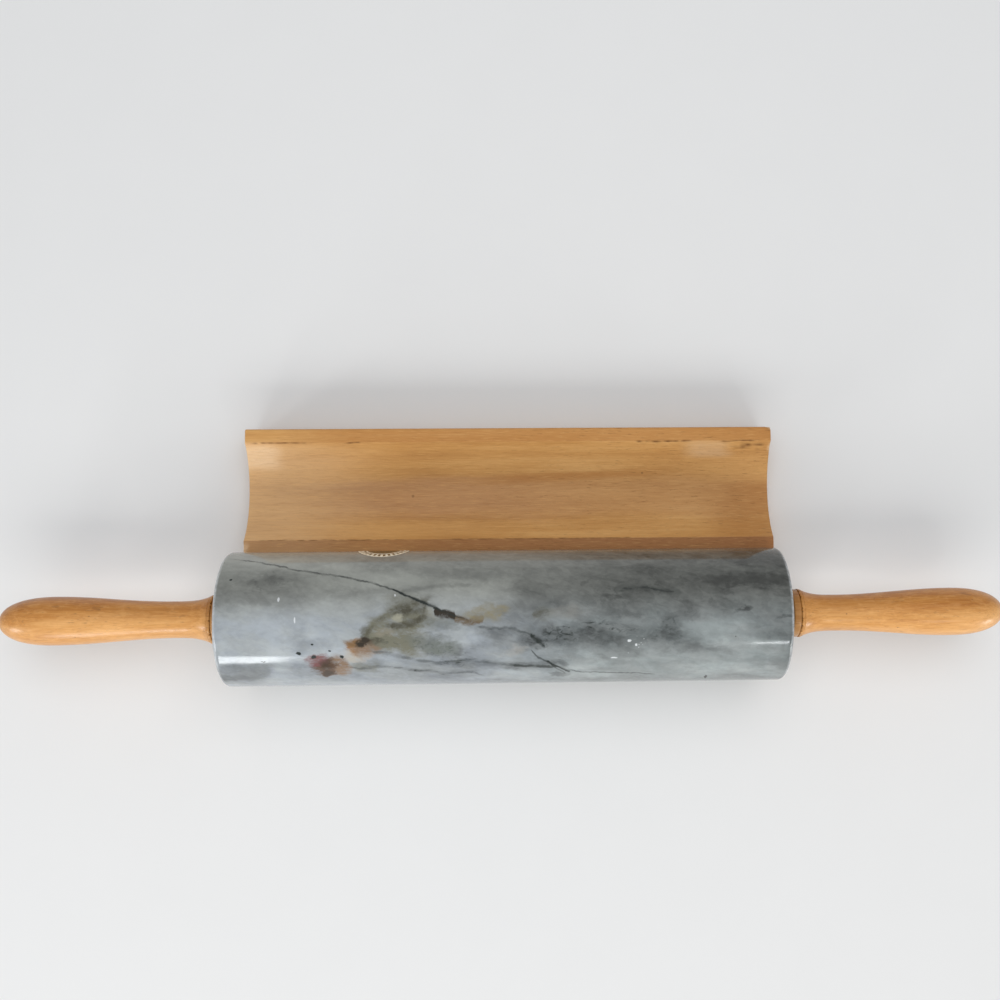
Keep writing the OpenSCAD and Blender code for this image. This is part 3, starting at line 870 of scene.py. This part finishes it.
class PIN_OT_axle(bpy.types.Operator):
    """Finishes the rod, washers, bushings and inserts inside the pin"""
    bl_idname = "pin.axle"
    bl_label = "Axle"

    def execute(self, context):
        colours = context.scene.pin_colours
        steel = plain_material("drawn_steel", colours.steel, 0.22, 1.0, 30, 0.6)
        finish_nodes(["axle_rod", *both_sides("washer")], steel)
        nylon = plain_material("nylon", colours.nylon, 0.45, 0.0, 3, 3)
        finish_nodes(both_sides("bushing"), nylon)
        brass = plain_material("turned_brass", colours.brass, 0.25, 1.0, 0.5, 8)
        finish_nodes(both_sides("insert"), brass)
        return {"FINISHED"}


# Tears along the cradle in mm: first and last place along it, place across it, depth, half width
TEARS = (
    (-123, -93, 23.1, 0.6, 0.55), (-80, -69, 23.1, 0.4, 0.45), (59.5, 88.5, 23.1, 0.8, 0.6),
    (100, 121, 23.1, 0.8, 0.6), (103, 125.5, 19.8, 0.7, 0.55), (110, 124, 21.4, 0.5, 0.45),
    (-119, -50, -23.1, 0.2, 0.3), (-30, 60, -23.1, 0.15, 0.3))
# Chips in mm: middle along and across, half length, half width and depth
CHIPS = ((125.5, 29.7, 2.4, 1.5, 1.4), (-125.5, -26.5, 3.0, 3.4, 0.7), (125.5, 20, 1.4, 2.2, 0.6))


class PIN_OT_cradle(bpy.types.Operator):
    """Planes, chips and finishes the wooden cradle"""
    bl_idname = "pin.cradle"
    bl_label = "Cradle"

    worn_above_mm = 8
    grain_height = 0.00004
    edge_zone = 0.0016

    def execute(self, context):
        mesh = self.block(context.scene.pin_sizes)
        self.wear(mesh)
        wood = cradle_material(context.scene.pin_colours)
        add_piece("planed_cradle", mesh, wood, "cradle", "cradle")
        return {"FINISHED"}

    def top(self, sizes, y):
        """Height of the cradle's top at y: a land on each side of a round trough."""
        low, high = CRADLE_BOX
        half = high.y - sizes.land
        if abs(y) >= half:
            return high.z
        radius = BARREL_R + sizes.trough_room
        return high.z + math.sqrt(radius ** 2 - half ** 2) - math.sqrt(radius ** 2 - y ** 2)

    def stations(self, sizes, coarse=0.0011, fine=0.0003):
        """Places across the cradle, close together at the two edges of the trough."""
        low, high = CRADLE_BOX
        half = high.y - sizes.land
        places = [low.y]
        while places[-1] < high.y - coarse:
            near = abs(abs(places[-1]) - half) < self.edge_zone
            places.append(places[-1] + (fine if near else coarse))
        places = [y for y in places if min(abs(y - half), abs(y + half)) > 0.4 * fine
                  and high.y - y > 0.8 * coarse or y == low.y]
        return sorted({*places, -half, half, high.y})

    def block(self, sizes, step=0.00075):
        low, high = CRADLE_BOX
        mesh = bmesh.new()
        line = [mesh.verts.new((low.x, y, self.top(sizes, y))) for y in self.stations(sizes)]
        sunk = bmesh.ops.extrude_edge_only(mesh, edges=join(mesh, line))["geom"]
        for vertex in (v for v in sunk if isinstance(v, bmesh.types.BMVert)):
            vertex.co.z = low.z
        grown = bmesh.ops.extrude_face_region(mesh, geom=mesh.faces[:])["geom"]
        far = [v for v in grown if isinstance(v, bmesh.types.BMVert)]
        bmesh.ops.translate(mesh, verts=far, vec=(high.x - low.x, 0, 0))
        bmesh.ops.recalc_face_normals(mesh, faces=mesh.faces[:])
        sharp = [e for e in mesh.edges if len(e.link_faces) == 2
                 and e.calc_face_angle() > math.radians(60)]
        bmesh.ops.bevel(mesh, geom=sharp, offset=sizes.cradle_edge, offset_type="OFFSET", segments=3,
                        profile=0.5, material=-1, affect="EDGES", clamp_overlap=True)
        long = [e for e in mesh.edges if e.calc_length() > 0.9 * (high.x - low.x)]
        bmesh.ops.subdivide_edges(mesh, edges=long, cuts=int((high.x - low.x) / step),
                                  use_grid_fill=True)
        return mesh

    def wear(self, mesh):
        """Lowers the surface along tears and at chips, and writes both down for the finish."""
        torn = mesh.verts.layers.float.new("torn")
        fresh = mesh.verts.layers.float.new("fresh")
        for vertex in mesh.verts:
            x, y, z = vertex.co * MM
            if z < self.worn_above_mm:
                continue
            vertex.co.z += self.grain_height * noise.noise(Vector((x * 0.08, y * 1.3, z * 0.4)))
            for start, end, across, depth, half in TEARS:
                if start < x < end:
                    ends = min(1.0, (x - start) / 3, (end - x) / 3)
                    share = self.opening(x, y - across, across, half) * ends
                    vertex.co.z -= depth / MM * share
                    vertex[torn] = max(vertex[torn], min(1.0, 2.0 * share))
            for *chip, depth in CHIPS:
                share = self.loss(x, y, *chip)
                if share > 0:
                    fibres = 0.75 + 0.5 * noise.noise(Vector((x * 0.15, y * 3, 7)))
                    vertex.co.z -= depth / MM * share * fibres
                    vertex[fresh] = max(vertex[fresh], share)

    def opening(self, x, off, seed, half):
        """How far a tear has opened beside its middle line, which wanders along the grain."""
        drift = 0.35 * noise.noise(Vector((x * 0.12, seed, 0)))
        rough = 0.45 + 0.9 * noise.noise(Vector((x * 0.35, seed, 5)))
        return max(0.0, max(0.0, 1 - abs(off - drift) / half) * rough)

    def loss(self, x, y, along, across, half_long, half_wide):
        """Share of a chip's depth that is gone at a place, with a ragged edge."""
        far = math.hypot((x - along) / half_long, (y - across) / half_wide)
        ragged = 0.5 * noise.noise(Vector((x * 0.5, y * 1.5, 2)))
        return min(1.0, max(0.0, 1 - far + ragged) * 2) if far < 1.5 else 0.0


# A lamp: name, place, width and height, power, colour, and whether it shows in reflections
LAMPS = (
    ("left_window", (-0.58, -1.25, 0.42), (0.22, 0.3), 2.4, (0.93, 0.97, 1.0), True),
    ("right_window", (0.68, -1.2, 0.98), (0.16, 0.1), 0.7, (0.95, 0.98, 1.0), True),
    ("left_side", (-1.2, -0.77, 0.45), (0.3, 0.35), 3.4, (0.97, 0.98, 1.0), True),
    ("right_side", (1.26, -1.0, 0.2), (0.3, 0.3), 3.4, (1.0, 0.98, 0.94), True),
    ("front_fill", (0.0, -1.64, 1.12), (2.1, 0.75), 16.9, (1.0, 0.98, 0.95), False),
    ("sky_fill", (0.1, 0.3, 1.4), (1.4, 1.4), 9.0, (0.98, 0.98, 1.0), False))
LAMP_AIM = Vector((0, -0.03, 0.02))
SKY_COLOUR = (0.93, 0.96, 1.0, 1.0)
SKY_STRENGTH = 0.4

# The camera's lens and shift, its place beside the barrel's middle, its height and its tilt
LENS_MM = 38.81
LENS_SHIFT = -0.0536
CAMERA_BESIDE = (0.00517, 0.01215)
CAMERA_HEIGHT = 0.53262
CAMERA_TILT = (0.0827, -0.0342, -0.0074)


class PIN_OT_stage(bpy.types.Operator):
    """Adds the floor, the lights and the camera"""
    bl_idname = "pin.stage"
    bl_label = "Stage"

    def execute(self, context):
        scene = context.scene
        scene.view_settings.view_transform = "Standard"
        self.add_floor(scene)
        for lamp in LAMPS:
            self.add_lamp(scene, *lamp)
        world = bpy.data.worlds.new("studio")
        world.use_nodes = True
        sky = world.node_tree.nodes["Background"].inputs
        sky["Color"].default_value = SKY_COLOUR
        sky["Strength"].default_value = SKY_STRENGTH
        scene.world = world
        self.add_camera(scene)
        return {"FINISHED"}

    def add_floor(self, scene):
        mesh = bmesh.new()
        bmesh.ops.create_grid(mesh, x_segments=2, y_segments=2, size=scene.pin_sizes.floor_size / 2)
        paint = Recipe("floor_paint")
        speckle = paint.noise(paint.point(), 30.0, detail=4.0)
        colour = scene.pin_colours.floor
        tone = paint.mix(speckle * 0.3, colour, dimmed(colour, 0.93))
        floor = add_object("floor", mesh, paint.finish(tone, 0.6))

    def add_lamp(self, scene, name, place, size, power, colour, reflected):
        lamp = bpy.data.lights.new(name, "AREA")
        lamp.shape = "RECTANGLE"
        lamp.size, lamp.size_y = size
        lamp.energy = power
        lamp.color = colour
        holder = bpy.data.objects.new(name, lamp)
        holder.location = place
        holder.rotation_euler = (LAMP_AIM - Vector(place)).to_track_quat("-Z", "Y").to_euler()
        holder.visible_glossy = reflected
        scene.collection.objects.link(holder)

    def add_camera(self, scene):
        """Looks down on the pin, with the picture cut off centre."""
        lens = bpy.data.cameras.new("camera")
        lens.sensor_width = 36.0
        lens.lens = LENS_MM
        lens.shift_x = LENS_SHIFT
        camera = bpy.data.objects.new("camera", lens)
        right, back = CAMERA_BESIDE
        camera.location = (BARREL_MID.x + right, BARREL_MID.y + back, CAMERA_HEIGHT)
        camera.rotation_euler = Euler(CAMERA_TILT, "ZYX").to_matrix().to_euler("XYZ")
        scene.collection.objects.link(camera)
        scene.camera = camera


class PIN_PT_panel(bpy.types.Panel):
    bl_label = "Rolling Pin"
    bl_idname = "PIN_PT_panel"
    bl_space_type = "VIEW_3D"
    bl_region_type = "UI"
    bl_category = "Rolling Pin"

    def draw(self, context):
        for operator in OPERATORS:
            self.layout.operator(operator.bl_idname)
        for group in (context.scene.pin_colours, context.scene.pin_sizes):
            for key in group.bl_rna.properties.keys():
                if key not in ("rna_type", "name"):
                    self.layout.prop(group, key)


OPERATORS = (PIN_OT_stage, PIN_OT_barrel, PIN_OT_label, PIN_OT_handles, PIN_OT_axle, PIN_OT_cradle)
CLASSES = (PinColours, PinSizes, *OPERATORS, PIN_PT_panel)


def register():
    for each in CLASSES:
        bpy.utils.register_class(each)
    bpy.types.Scene.pin_colours = bpy.props.PointerProperty(type=PinColours)
    bpy.types.Scene.pin_sizes = bpy.props.PointerProperty(type=PinSizes)


def unregister():
    del bpy.types.Scene.pin_sizes
    del bpy.types.Scene.pin_colours
    for each in reversed(CLASSES):
        bpy.utils.unregister_class(each)


def main():
    register()
    bpy.ops.pin.stage()
    bpy.ops.pin.barrel()
    bpy.ops.pin.label()
    bpy.ops.pin.handles()
    bpy.ops.pin.axle()
    bpy.ops.pin.cradle()


if __name__ == "__main__":
    main()
